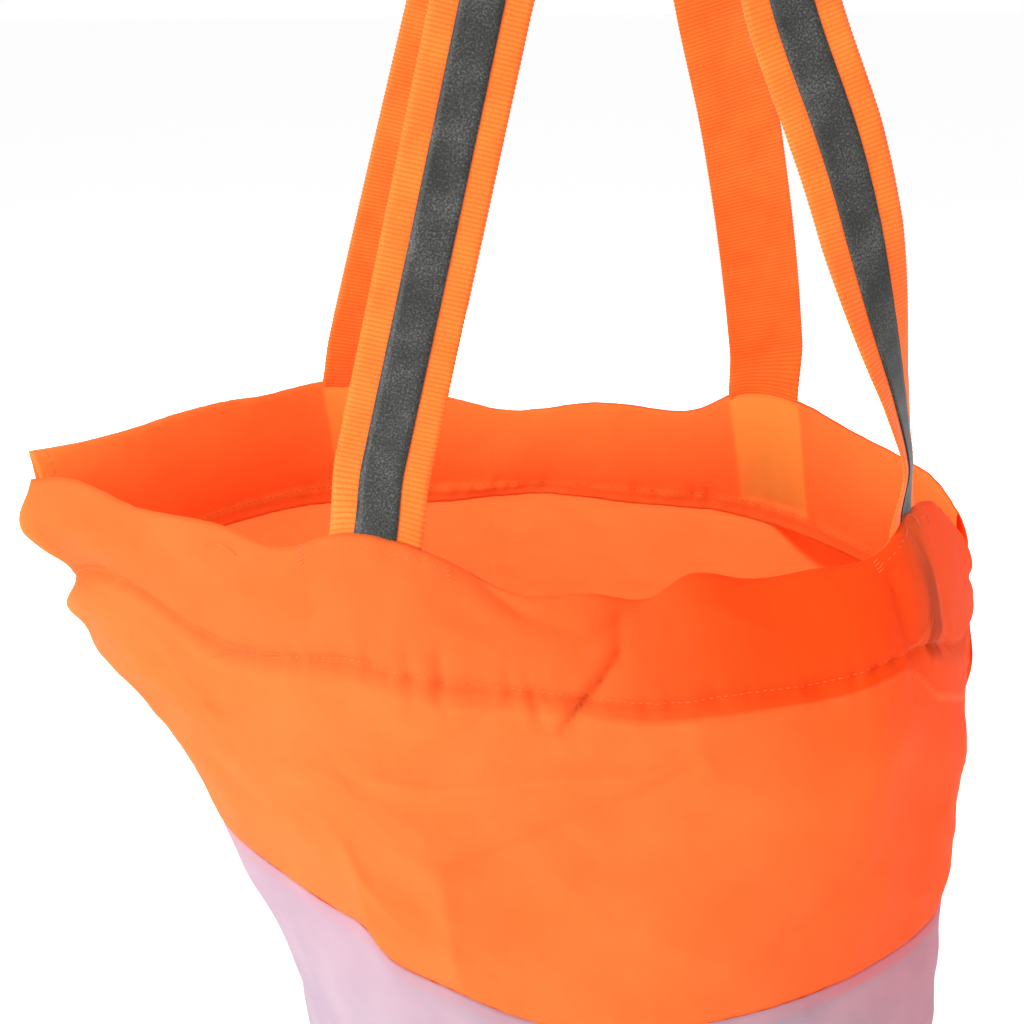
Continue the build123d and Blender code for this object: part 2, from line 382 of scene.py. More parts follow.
def upper_grid(name):
    """The orange cloth: up the outside, over the rim and down the inside of the casing."""
    side = SIDES[name]
    outer_rows = np.arange(LAP, RIM + 0.01, row_step)
    inner_rows = np.arange(RIM - LAYER_GAP, FACING_EDGE, -row_step)
    s, h = cloth_coordinates(outer_rows)
    outer = wall(name, outer_rows)
    out = normals(outer, side)
    lift = relief(name, s, h) + OUTER_SWELL * casing_swell(h)
    lift = lift - LAP_TUCK * (h < BAND_SEAM) * seam_fade(s, h)
    outer = outer + out * lift[..., None]
    s, hi = cloth_coordinates(inner_rows)
    inner = wall(name, inner_rows)
    inward = normals(inner[::-1], side)[::-1]
    drop = LAYER_GAP + INNER_SWELL * casing_swell(hi) + INNER_RELIEF * relief(name, s, hi, inner=True)
    drop = np.maximum(drop, LEAST_GAP)
    hug = relief(name, s, hi) * (1 - casing_swell(hi))
    inner = inner + inward * (hug - drop)[..., None]
    grid = np.concatenate([outer, inner])
    return grid, np.concatenate([outer_rows, 2 * RIM - inner_rows])


def lower_grid(name):
    """The pale cloth, from the band seam down to the base's edge."""
    side = SIDES[name]
    rows = np.arange(BAND_SEAM, BASE_EDGE - 0.01, -row_step)
    s, h = cloth_coordinates(rows)
    grid = wall(name, rows)
    out = normals(grid[::-1], side)[::-1]
    seed = LOWER_SEEDS[name]
    free = smooth_step(-h / 30) * smooth_step((h - BASE_EDGE) / 25)
    lift = free * (3.5 * rough(s, h, (60, 120), seed) + 1.0 * rough(s, h, (25, 40), seed + 1))
    lift += (puckers(s, h, BAND_SEAM, 10.0, 0.8, seed + 2)
             + puckers(s, h, BASE_EDGE, 12.0, 0.8, seed + 3))
    lift -= 0.8 * bump(h, BAND_SEAM, 2.5) + 2.5 * bump(h, BASE_EDGE, 4)
    lift *= seam_fade(s, h)
    return grid + out * lift[..., None], rows


# ---------------------------------------------------------------- where the straps meet the rim

HALF_SPACING = 109.5
TAIL_SHIFT = {("front", 1): 8.0}


def rim_column(name, end):
    """Where a strap's middle meets the rim: a column of the panel, and its place."""
    rim = wall(name, [RIM])[0]
    column = int(np.argmin(np.abs(rim[:, 0] - end * HALF_SPACING - TAIL_SHIFT.get((name, end), 0))))
    return column, rim[column]


def rim_height(name, end):
    return rim_column(name, end)[1][2]


def strap_column(name, end):
    """Cloth place s where a strap's middle meets the rim."""
    return PANEL_WIDTH * (rim_column(name, end)[0] / (columns - 1) - 0.5)


# ---------------------------------------------------------------- meshes

def world_points(points):
    """Metres in the frame, from millimetres off the middle of the mouth."""
    return np.asarray(points) * MM + mouth


def mesh_object(name, vertices, faces, material):
    mesh = bpy.data.meshes.new(name)
    mesh.from_pydata(np.asarray(vertices).tolist(), [], faces)
    mesh.shade_smooth()
    mesh.materials.append(material)
    piece = bpy.data.objects.new(name, mesh)
    bpy.context.scene.collection.objects.link(piece)
    return piece


def grid_faces(rows, cols, flip=False):
    index = np.arange(rows * cols).reshape(rows, cols)
    corners = [index[:-1, :-1], index[:-1, 1:], index[1:, 1:], index[1:, :-1]]
    quads = np.stack(corners, axis=-1).reshape(-1, 4)
    return (quads[:, ::-1] if flip else quads).tolist()


def tube_faces(*shape):
    """Faces of closed tubes with capped ends, for points numbered [tube,] ring, place in the ring."""
    index = np.arange(np.prod(shape)).reshape(shape)
    nxt = np.roll(index, -1, axis=-1)
    corners = [index[..., :-1, :], nxt[..., :-1, :], nxt[..., 1:, :], index[..., 1:, :]]
    quads = np.stack(corners, axis=-1).reshape(-1, 4)
    starts = index[..., 0, ::-1].reshape(-1, shape[-1])
    ends = index[..., -1, :].reshape(-1, shape[-1])
    return quads.tolist() + starts.tolist() + ends.tolist()


def circles(sides, up, beside):
    """Unit circles round every place of a line, in the plane of up and beside."""
    angles = np.linspace(0, 2 * pi, sides + 1)[:-1, None]
    return np.cos(angles) * up[..., None, :] + np.sin(angles) * beside[..., None, :]


def set_cloth_coordinates(piece, s, h):
    """Places on the flat cloth, which the materials' textures follow."""
    attribute = piece.data.attributes.new("cloth", "FLOAT_VECTOR", "POINT")
    values = np.zeros((len(piece.data.vertices), 3), np.float32)
    values[:, 0] = np.asarray(s).ravel()
    values[:, 1] = np.asarray(h).ravel()
    attribute.data.foreach_set("vector", values.ravel())


def thicken(piece):
    modifier = piece.modifiers.new("thickness", "SOLIDIFY")
    modifier.thickness = CLOTH_THICKNESS * MM
    modifier.offset = 0.0


# How strongly the sewn tails show through the outer and the inner layer of the casing, as painted
# shade and light: a painted shadow of the tape and a painted lighter band of the webbing
TAPE_SHADOW = {("front", 1): 1.4}
WEBBING_PAINTED_LIGHT = {("back", 1): 1.0, ("back", -1): 0.8, ("front", 1): 0.8, ("front", -1): 0.8}
# Painted light: the casing's inner layer, above the rim, lighter and yellower all over
FACING_PAINTED_LIGHT = 0.35


def set_shadows(piece, name, s, h):
    """Painted shade and light from what lies behind the thin cloth: a shadow of the tape, a lighter
    band of the webbing, and shade where a facing or turned-in edge lies behind and towards the right
    side.
    """
    tape = np.zeros(s.shape)
    webbing = np.zeros(s.shape)
    for (strap_side, end), strength in TAPE_SHADOW.items():
        if strap_side == name:
            off = np.abs(s - strap_column(name, end))
            length = smooth_step((h - HEM + 8) / 8) * smooth_step((RIM - 6 - h) / 14)
            # Painted shadow of the tape tail on the cloth, darker towards the hem
            fade = 0.3 + 0.7 * (RIM - h) / CASING
            tape += strength * length * fade * smooth_step((13 - off) / 8)
    # Painted light: a lighter, yellower band where the webbing lies behind the casing's inner layer
    for (strap_side, end), strength in WEBBING_PAINTED_LIGHT.items():
        if strap_side == name:
            off = np.abs(s - strap_column(name, end))
            length = smooth_step((INNER_HEM - h) / 4) * smooth_step((h - RIM) / 3)
            webbing += strength * length * smooth_step((20.5 - off) / 2.5)
    webbing += np.where(h > RIM, FACING_PAINTED_LIGHT, 0.0)
    attribute = piece.data.attributes.new("layer_light_and_shade", "FLOAT_VECTOR", "POINT")
    values = np.clip(np.stack([tape, webbing, doubled_and_shaded(name, s, h)], axis=-1), 0, 1)
    attribute.data.foreach_set("vector", values.astype(np.float32).ravel())


def doubled_and_shaded(name, s, h):
    """Painted shade: darker and redder where the cloth lies two deep and towards the right side, away
    from the key light; on the pale cloth, pink where the orange edge shows through, with painted shade
    towards the right and pinker near the band seam.
    """
    # Painted shade: the casing's facing turns darker and redder towards the right side
    shade_to_right = smooth_step((s + 50) / 130)
    far_right = smooth_step((s - 122) / 38)
    edge = FACING_EDGE - 17 * far_right
    facing = 0.15 + 0.85 * shade_to_right - 0.25 * far_right
    facing = facing * smooth_step((h - edge) / (2.5 + 4 * far_right))
    # Painted shade on the front's single cloth: darker and redder towards the right, and more so right
    # of s 26 above h 95
    body = 0.55 * smooth_step((s + 10) / 200)
    body += 0.25 * smooth_step((s - 26) / 14) * smooth_step((h - 95) / 45)
    body *= smooth_step((edge + 3 - h) / 3) * (name == "front")
    # Below the band seam: pink where the orange edge shows through the pale cloth, painted shade
    # towards the right side, and pinker up towards the band seam
    shade_right_below_seam = smooth_step((s - 40) / 120)
    lap_and_shade = (0.2 + 0.8 * shade_right_below_seam) * smooth_step((h - LAP - 1) / 4) + 0.4 * shade_right_below_seam
    lap_and_shade += 0.1 * smooth_step((h + 45) / 40)
    result = np.where(h > RIM, 0.0, np.maximum(facing, body))
    return np.where(h <= BAND_SEAM + 0.5, lap_and_shade, result)


def cloth_panel(name, grid, rows, material, flip):
    faces = grid_faces(*grid.shape[:2], flip)
    piece = mesh_object(name, world_points(grid.reshape(-1, 3)), faces, material)
    s, h = np.broadcast_arrays(*cloth_coordinates(rows))
    set_cloth_coordinates(piece, s, h)
    set_shadows(piece, name.split("_")[0], s, h)
    thicken(piece)
    return piece


class Cloth:
    """A finished cloth grid that threads can be laid on."""

    def __init__(self, grid, rows, side):
        self.grid = grid
        self.rows = np.asarray(rows, float)
        self.order = np.argsort(self.rows)
        goes_up = self.rows[0] < self.rows[-1]
        self.out = normals(grid, side if goes_up else -side)

    def at(self, s, h):
        """Points and outward normals at cloth places s, h."""
        s, h = np.broadcast_arrays(np.asarray(s, float), np.asarray(h, float))
        column = (s + HALF) / PANEL_WIDTH * (self.grid.shape[1] - 1)
        row = np.interp(h, self.rows[self.order], self.order)
        c = np.clip(column.astype(int), 0, self.grid.shape[1] - 2)
        r = np.clip(row.astype(int), 0, self.grid.shape[0] - 2)
        u, v = (column - c)[..., None], (row - r)[..., None]
        result = []
        for field in (self.grid, self.out):
            low = field[r, c] * (1 - u) + field[r, c + 1] * u
            high = field[r + 1, c] * (1 - u) + field[r + 1, c + 1] * u
            result.append(low * (1 - v) + high * v)
        return result


# ---------------------------------------------------------------- materials

def new_material(name):
    material = bpy.data.materials.new(name)
    material.use_nodes = True
    nodes = material.node_tree.nodes
    nodes.clear()
    return material, nodes, material.node_tree.links


def node(nodes, kind, **settings):
    result = nodes.new(kind)
    for key, value in settings.items():
        if hasattr(result, key):
            setattr(result, key, value)
        else:
            result.inputs[key.replace("_", " ")].default_value = value
    return result


def math_node(nodes, links, operation, *inputs):
    """Output of a math node; an input is a number or another node's output."""
    result = node(nodes, "ShaderNodeMath", operation=operation)
    for place, value in zip(result.inputs, inputs):
        if isinstance(value, float):
            place.default_value = value
        else:
            links.new(value, place)
    return result.outputs[0]


def ramp(nodes, stops):
    """A colour ramp with (place, colour) stops."""
    result = nodes.new("ShaderNodeValToRGB")
    elements = result.color_ramp.elements
    while len(elements) < len(stops):
        elements.new(0.5)
    for element, (place, colour) in zip(elements, stops):
        element.position = place
        element.color = (*colour, 1)
    return result


def lay_on_cloth(nodes, links, *textures):
    """Textures follow the flat cloth's places, in millimetres."""
    place = node(nodes, "ShaderNodeAttribute", attribute_name="cloth")
    for texture in textures:
        links.new(place.outputs["Vector"], texture.inputs["Vector"])


def bumped(nodes, links, height, strength, distance):
    result = node(nodes, "ShaderNodeBump", Strength=strength, Distance=distance)
    links.new(height, result.inputs["Height"])
    return result.outputs["Normal"]


def show_surface(nodes, links, surface):
    out = node(nodes, "ShaderNodeOutputMaterial")
    links.new(surface.outputs[0], out.inputs["Surface"])


def layered(nodes, links, colour, below):
    """Colour of the cloth with painted shade and light from what lies behind it.

    below gives the tint and strength of each: X is the painted shadow of a tape tail, Y painted light
    through the casing's inner layer and over webbing, and Z painted shade where the cloth lies two
    deep and towards the right side."""
    layer_light_and_shade = node(nodes, "ShaderNodeAttribute", attribute_name="layer_light_and_shade")
    split = node(nodes, "ShaderNodeSeparateXYZ")
    links.new(layer_light_and_shade.outputs["Vector"], split.inputs[0])
    for output, (tint, strength) in below.items():
        amount = math_node(nodes, links, "MULTIPLY", split.outputs[output], strength)
        mix = node(nodes, "ShaderNodeMix", data_type="RGBA")
        links.new(amount, mix.inputs["Factor"])
        links.new(colour, mix.inputs[6])
        mix.inputs[7].default_value = (*tint, 1)
        colour = mix.outputs[2]
    return colour


def cloth_material(name, light, dark, through, see_through, below):
    """Thin woven cloth: part of the light passes through it."""
    material, nodes, links = new_material(name)
    cloudy = node(nodes, "ShaderNodeTexNoise", Scale=0.03, Detail=4.0)
    tint = ramp(nodes, [(0.35, dark), (0.68, light)])
    links.new(cloudy.outputs["Fac"], tint.inputs["Fac"])
    warp = node(nodes, "ShaderNodeTexWave", bands_direction="X", Scale=0.5, Distortion=0.4)
    weft = node(nodes, "ShaderNodeTexWave", bands_direction="Y", Scale=0.5, Distortion=0.4)
    fine = node(nodes, "ShaderNodeTexNoise", Scale=0.9, Detail=3.0)
    lay_on_cloth(nodes, links, cloudy, warp, weft, fine)
    weave = math_node(nodes, links, "MAXIMUM", warp.outputs["Fac"], weft.outputs["Fac"])
    mixed = math_node(nodes, links, "MULTIPLY_ADD", fine.outputs["Fac"], 1.5, weave)
    normal = bumped(nodes, links, mixed, 0.25, 0.0002)
    surface = node(nodes, "ShaderNodeBsdfPrincipled", Roughness=0.62, Specular_IOR_Level=0.08)
    colour = layered(nodes, links, tint.outputs["Color"], below)
    links.new(colour, surface.inputs["Base Color"])
    links.new(normal, surface.inputs["Normal"])
    behind = node(nodes, "ShaderNodeBsdfTranslucent")
    passed = node(nodes, "ShaderNodeRGB")
    passed.outputs[0].default_value = (*through, 1)
    links.new(layered(nodes, links, passed.outputs[0], below), behind.inputs["Color"])
    links.new(normal, behind.inputs["Normal"])
    mix = node(nodes, "ShaderNodeMixShader")
    mix.inputs[0].default_value = see_through
    links.new(surface.outputs[0], mix.inputs[1])
    links.new(behind.outputs[0], mix.inputs[2])
    show_surface(nodes, links, mix)
    return material


RIB_PITCH = 1.8
# A wave texture of scale 1 has 20 / (2 pi) waves in each unit of length
RIB_SCALE = 2 * pi / 20 / RIB_PITCH


def webbing_material():
    """Ribbed webbing, a little uneven in its dye, with painted shade in the grooves between its ribs.
    """
    material, nodes, links = new_material("orange_webbing")
    speck = node(nodes, "ShaderNodeTexNoise", Scale=1.4, Detail=3.0)
    cloudy = node(nodes, "ShaderNodeTexNoise", Scale=0.05, Detail=2.0)
    tint = ramp(nodes, [(0.3, (0.95, 0.125, 0.011)), (0.7, (1.0, 0.215, 0.028))])
    half = math_node(nodes, links, "MULTIPLY", cloudy.outputs["Fac"], 0.5)
    blend = math_node(nodes, links, "MULTIPLY_ADD", speck.outputs["Fac"], 0.5, half)
    links.new(blend, tint.inputs["Fac"])
    normal = bumped(nodes, links, speck.outputs["Fac"], 0.4, 0.0003)
    ribs = node(nodes, "ShaderNodeTexWave", bands_direction="Y", wave_profile="SIN",
                Scale=RIB_SCALE)
    lay_on_cloth(nodes, links, speck, cloudy, ribs)
    # Painted shade: the grooves between the ribs darker, multiplied over the dyed colour
    grooves = node(nodes, "ShaderNodeMix", data_type="RGBA", blend_type="MULTIPLY")
    shade = ramp(nodes, [(0.0, (0.94, 0.68, 0.54)), (0.55, (1.0, 1.0, 1.0))])
    links.new(ribs.outputs["Fac"], shade.inputs["Fac"])
    grooves.inputs[0].default_value = 1.0
    links.new(tint.outputs["Color"], grooves.inputs[6])
    links.new(shade.outputs["Color"], grooves.inputs[7])
    surface = node(nodes, "ShaderNodeBsdfPrincipled", Roughness=0.7, Sheen_Weight=0.08,
                   Specular_IOR_Level=0.2)
    links.new(grooves.outputs[2], surface.inputs["Base Color"])
    links.new(normal, surface.inputs["Normal"])
    show_surface(nodes, links, surface)
    return material


def tape_material():
    """Grey reflective tape: a layer of glass beads over dark cloth, with the beads' glints painted as
    bright specks in its colour.
    """
    material, nodes, links = new_material("reflective_tape")
    beads = node(nodes, "ShaderNodeTexNoise", Scale=1.1, Detail=6.0, Roughness=0.75)
    # Broad lighter and darker patches over the tape
    broad_patches = node(nodes, "ShaderNodeTexNoise", Scale=0.06, Detail=3.0)
    lay_on_cloth(nodes, links, beads, broad_patches)
    # Painted glints of the glass beads: bright specks, over the broad patches
    bead_glints = math_node(nodes, links, "MULTIPLY", beads.outputs["Fac"], 1.1)
    blend = math_node(nodes, links, "MULTIPLY_ADD", broad_patches.outputs["Fac"], 0.35, bead_glints)
    # The brightest stop is the beads' painted glint
    tint = ramp(nodes, [(0.62, (0.022, 0.022, 0.021)), (0.76, (0.044, 0.044, 0.042)),
                        (0.94, (0.15, 0.15, 0.145))])
    links.new(blend, tint.inputs["Fac"])
    normal = bumped(nodes, links, beads.outputs["Fac"], 0.3, 0.0002)
    surface = node(nodes, "ShaderNodeBsdfPrincipled", Roughness=0.5, Metallic=0.1,
                   Specular_IOR_Level=0.25)
    links.new(tint.outputs["Color"], surface.inputs["Base Color"])
    links.new(normal, surface.inputs["Normal"])
    show_surface(nodes, links, surface)
    return material


def thread_material(name, colour):
    """Sewing thread, with painted shade between its twists as random darker spots."""
    material, nodes, links = new_material(name)
    place = node(nodes, "ShaderNodeTexCoord")
    twist = node(nodes, "ShaderNodeTexNoise", Scale=2500.0, Detail=2.0)
    links.new(place.outputs["Object"], twist.inputs["Vector"])
    tint = ramp(nodes, [(0.3, tuple(0.7 * c for c in colour)), (0.7, colour)])
    links.new(twist.outputs["Fac"], tint.inputs["Fac"])
    surface = node(nodes, "ShaderNodeBsdfPrincipled", Roughness=0.5)
    links.new(tint.outputs["Color"], surface.inputs["Base Color"])
    show_surface(nodes, links, surface)
    return material


# Tints of the cloth, painted shade and light: X a dark shadow of a tape tail, Y lighter, yellower
# light through the casing's inner layer, Z darker red shade where the cloth lies two deep and towards
# the right side
ORANGE = cloth_material(
    "orange_cloth", light=(1.0, 0.232, 0.054), dark=(1.0, 0.205, 0.043), through=(1.0, 0.46, 0.22),
    see_through=0.45, below={"X": ((0.12, 0.02, 0.006), 0.88), "Y": ((1.0, 0.54, 0.10), 0.85),
                             "Z": ((1.0, 0.08, 0.004), 0.9)})
# Z: pink where the orange edge shows through the pale cloth, with painted shade towards the right side
PALE = cloth_material(
    "pale_cloth", light=(0.60, 0.51, 0.58), dark=(0.50, 0.44, 0.53), through=(0.72, 0.60, 0.68),
    see_through=0.5, below={"Z": ((0.95, 0.27, 0.31), 0.7)})
WEBBING = webbing_material()
TAPE = tape_material()
ORANGE_THREAD = thread_material("orange_thread", (0.95, 0.15, 0.02))
PALE_THREAD = thread_material("pale_thread", (0.8, 0.72, 0.78))


# ---------------------------------------------------------------- the bag's panels

def build_panels():
    """The four wall pieces; returns their finished grids, for the threads and the straps."""
    made = {}
    for name, side in SIDES.items():
        grid, rows = upper_grid(name)
        upper = cloth_panel(f"{name}_upper_cloth", grid, rows, ORANGE, flip=side > 0)
        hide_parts(f"{name}_upper_panel")
        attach(upper, "bag")
        made[f"{name}_upper"] = Cloth(grid, rows, side)
        grid, rows = lower_grid(name)
        lower = cloth_panel(f"{name}_lower_cloth", grid, rows, PALE, flip=side < 0)
        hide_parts(f"{name}_lower_panel")
        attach(lower, "bag")
        made[f"{name}_lower"] = Cloth(grid, rows, side)
    return made


def build_base():
    """Round base panel, slightly wavy, that meets the lower panels' edges."""
    rings, spokes = 40, 180
    points = []
    for i in range(rings + 1):
        radius = (base_radius - BASE_INSET) * i / rings
        for j in range(spokes):
            angle = 2 * pi * j / spokes
            x, y = base_x + radius * cos(angle), radius * sin(angle)
            rise = 0.5 + 1.2 * (1 - i / rings) * (1 + noise.noise(Vector((x / 50, y / 50, 3.0))))
            points.append((x, y, floor_mm + rise))
    # The innermost ring is one point, number 0
    points = np.array(points[:1] + points[spokes:])
    faces = []
    for i in range(1, rings):
        near, far = 1 + (i - 1) * spokes, 1 + i * spokes
        for j in range(spokes):
            k = (j + 1) % spokes
            faces.append((near + j, far + j, far + k, near + k))
    for j in range(spokes):
        faces.append((0, 1 + j, 1 + (j + 1) % spokes))
    base = mesh_object("base_cloth", world_points(points), faces, PALE)
    set_cloth_coordinates(base, points[:, 0], points[:, 1])
    thicken(base)
    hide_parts("base_panel")
    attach(base, "bag")


# ---------------------------------------------------------------- handles

def hinge_middle(name):
    """Middle of the line a handle folds about, from its joint in the record."""
    joints = frame["record"]["behaviour"]["joints"]
    joint = next(j for j in joints if j["child"] == f"{name}_handle")
    return np.array(joint["pos_m"]) / MM - mouth / MM


GRIP_OFFSET, GRIP_RADIUS, GRIP_RISE = 22.0, 16.0, 365.0
# Up to this share of its length a leg lies flat in the handle's plane, then it turns to the grip
FLAT_SHARE = 0.55
# Distances up a leg where its line is fixed; its root and its top come before and after them
LEG_STATIONS = (20, 45, 75, 110, 150, 200, 240, 270, 300, 330, 355)
BULGE_END, SHIFT_END, TURN_END = 200, 90, 150


def leg_keys(name, end, root_turn, root_bulge, shift=(0, 0)):
    """Places and width directions up one leg, from the rim to the grip, and the handle's plane."""
    side = SIDES[name]
    foot = hinge_middle(name)
    lean = asin((abs(foot[1]) - GRIP_OFFSET) / GRIP_RISE)
    across = np.array([1.0, 0, 0])
    upward = np.array([0, -side * sin(lean), cos(lean)])
    outward = np.array([0, side * cos(lean), sin(lean)])
    slant = atan2(HALF_SPACING, GRIP_RISE) - asin(GRIP_RADIUS / hypot(HALF_SPACING, GRIP_RISE))
    leg = hypot(HALF_SPACING - GRIP_RADIUS * cos(slant), GRIP_RISE + GRIP_RADIUS * sin(slant))
    along = upward * cos(slant) - across * (end * sin(slant))
    width = across * cos(slant) + upward * (end * sin(slant))
    keys = []
    root = min(0.0, rim_height(name, end) - foot[2])
    for distance in (root, *LEG_STATIONS, leg):
        share = distance / leg
        place = foot + across * (end * HALF_SPACING) + along * distance
        place[0] += root_bulge * sin(pi * min(max(distance, 0) / BULGE_END, 1)) ** 0.8
        place[:2] += np.array(shift) * (1 - smooth_step(distance / SHIFT_END))
        turn = pi / 2 * max(0, (share - FLAT_SHARE) / (1 - FLAT_SHARE))
        facing = width * cos(turn) - outward * (end * sin(turn))
        low_turn = radians(root_turn) * (1 - smooth_step(distance / TURN_END))
        c, d = cos(low_turn), sin(low_turn)
        facing = np.array([facing[0] * c - facing[1] * d, facing[0] * d + facing[1] * c, facing[2]])
        keys.append((place, facing))
    return keys, (foot, across, upward, outward, slant)


TAIL_LOW, TAIL_HIGH = HEM + 5, RIM - 1.5
# How far a tail lies under the casing's outer layer, and how high above the rim the free
# webbing still follows the cloth
TAIL_DEPTH = 1.7
GATHER = 26.0
# Tails take the cloth's direction no higher than this, below the turn over the rim
STRAIGHT_CLOTH = RIM - 14
GRIP_STEPS = 6
ROOT_TURNS = {
    # Turn of the webbing's width in degrees, bulge of the leg, and how far the root is moved
    ("front", "left"): (-8, 0),
    ("front", "right"): (67, 8, (7, 8)),
    ("back", "left"): (8, 0),
    ("back", "right"): (-10, 4),
}


class Strap:
    """One handle's webbing: free in the middle, and sewn into the casing at both ends."""

    def __init__(self, name, cloth):
        self.cloth = cloth
        side = SIDES[name]
        left, (foot, across, upward, outward, slant) = leg_keys(name, -1, *ROOT_TURNS[name, "left"])
        right, _ = leg_keys(name, 1, *ROOT_TURNS[name, "right"])
        bend = []
        for step in range(1, GRIP_STEPS):
            angle = (pi / 2 - slant) * (1 - 2 * step / GRIP_STEPS)
            radial = upward * cos(angle) - across * sin(angle)
            bend.append((foot + upward * GRIP_RISE + radial * GRIP_RADIUS, outward))
        right = [(place, -facing) for place, facing in right][::-1]
        keys = left + bend + right
        places = np.array([k[0] for k in keys])
        facings = np.array([k[1] for k in keys])
        knots = lengths(places)
        self.station = 0.6
        at = np.arange(0, knots[-1] + 0.01, self.station)
        line = spline(knots, places, at)
        wide = np.stack([np.interp(at, knots, facings[:, axis]) for axis in range(3)], axis=1)
        tangent = np.gradient(line, axis=0)
        tangent /= np.linalg.norm(tangent, axis=1, keepdims=True)
        wide -= tangent * np.sum(wide * tangent, axis=1, keepdims=True)
        wide /= np.linalg.norm(wide, axis=1, keepdims=True)
        self.line, self.wide, self.out = line, wide, np.cross(wide, tangent) * -side
        self.long = at[-1]
        self.middles = {end: strap_column(name, end) for end in (-1, 1)}
        self.tail = np.arange(TAIL_LOW, TAIL_HIGH, self.station)
        last_tail = self.long + TAIL_HIGH - self.tail[::-1]
        self.along = np.concatenate([self.tail - TAIL_HIGH, at, last_tail])

    def sewn(self, end, heights, across, off):
        """Places in the casing, under its outer layer."""
        s = self.middles[end] - end * across
        points, _ = self.cloth.at(s, heights)
        _, out = self.cloth.at(s, np.minimum(heights, STRAIGHT_CLOTH))
        return points + out * (off - TAIL_DEPTH)[..., None]

    def points(self, profile):
        """Profile gives (across, off) for every station; returns places for all of them."""
        across, off = profile[..., 0], profile[..., 1]
        tail = len(self.tail)
        free = self.line[:, None] + self.wide[:, None] * across[tail:-tail, :, None]
        free += self.out[:, None] * off[tail:-tail, :, None]
        at = self.along[tail:-tail]
        for end, rise in ((-1, at), (1, self.long - at)):
            rim = self.sewn(end, TAIL_HIGH, across[tail:-tail], off[tail:-tail])
            above = rim + (self.line - self.line[0 if end < 0 else -1])[:, None]
            weight = 1 - smooth_step(rise / GATHER)
            free = free * (1 - weight)[:, None, None] + above * weight[:, None, None]
        left = self.sewn(-1, self.tail[:, None], across[:tail], off[:tail])
        right = self.sewn(1, self.tail[::-1, None], across[-tail:], off[-tail:])
        return np.concatenate([left, free, right])


def band_mesh(name, strap, profile, material):
    """A closed band whose section is given at every station along a strap."""
    points = strap.points(profile)
    stations, count = points.shape[:2]
    faces = tube_faces(stations, count)
    piece = mesh_object(name, world_points(points.reshape(-1, 3)), faces, material)
    set_cloth_coordinates(piece, profile[..., 0], np.repeat(strap.along[:, None], count, axis=1))
    return piece


WEBBING_HALF, WEBBING_POINTS = 19.0, 20
TAPE_HALF, TAPE_POINTS = 8.5, 7
TAPE_TOP, TAPE_BOTTOM = 1.25, 0.85


def there_and_back(half, count):
    """Places across a band's upper face and back across its lower face."""
    return np.concatenate([np.linspace(-half, half, count), np.linspace(half, -half, count)])


def webbing_profile(along):
    """Ribbed webbing with firm selvedges."""
    across = there_and_back(WEBBING_HALF, WEBBING_POINTS)
    face = np.repeat([1.0, -1.0], WEBBING_POINTS)
    rib = 0.5 + 0.5 * np.cos(2 * pi * along / RIB_PITCH)[:, None]
    edge = smooth_step((WEBBING_HALF - np.abs(across)) / 1.6)[None, :]
    thick = 0.3 + edge * (0.25 + 0.25 * rib)
    at_edge = (np.abs(across) > WEBBING_HALF - 0.5)[None, :]
    selvedge = 0.35 * at_edge * np.sign(across)[None, :] * rib
    return np.stack([across[None, :] + selvedge, face[None, :] * thick], axis=-1)


def tape_profile(along):
    """Tape that lies on the webbing and wanders a little from its middle."""
    across = there_and_back(TAPE_HALF, TAPE_POINTS)
    top = np.repeat([TAPE_TOP, TAPE_BOTTOM], TAPE_POINTS)
    wander = 0.25 * np.sin(along / 70)[:, None]
    ripple = 0.04 * np.sin(along / 1.7)[:, None] * np.ones_like(across)[None, :]
    return np.stack([across[None, :] + wander, top[None, :] + ripple], axis=-1)


def build_handles(cloths):
    for name in SIDES:
        strap = Strap(name, cloths[f"{name}_upper"])
        webbing = band_mesh(f"{name}_handle_webbing", strap, webbing_profile(strap.along), WEBBING)
        tape = band_mesh(f"{name}_handle_tape", strap, tape_profile(strap.along), TAPE)
        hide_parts(f"{name}_strap",
                    f"{name}_left_strap_tail", f"{name}_right_strap_tail")
        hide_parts(f"{name}_reflective_tape",
                    f"{name}_left_tape_tail", f"{name}_right_tape_tail")
        for piece in (webbing, tape):
            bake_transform(piece)


# ---------------------------------------------------------------- threads

STITCH_RINGS, STITCH_SIDES = 6, 6
STITCH_SHARE = 0.7
LOOSE_END_SIDES = 5
LOOSE_END_LIFT, LOOSE_END_RADIUS = 1.2, 0.14


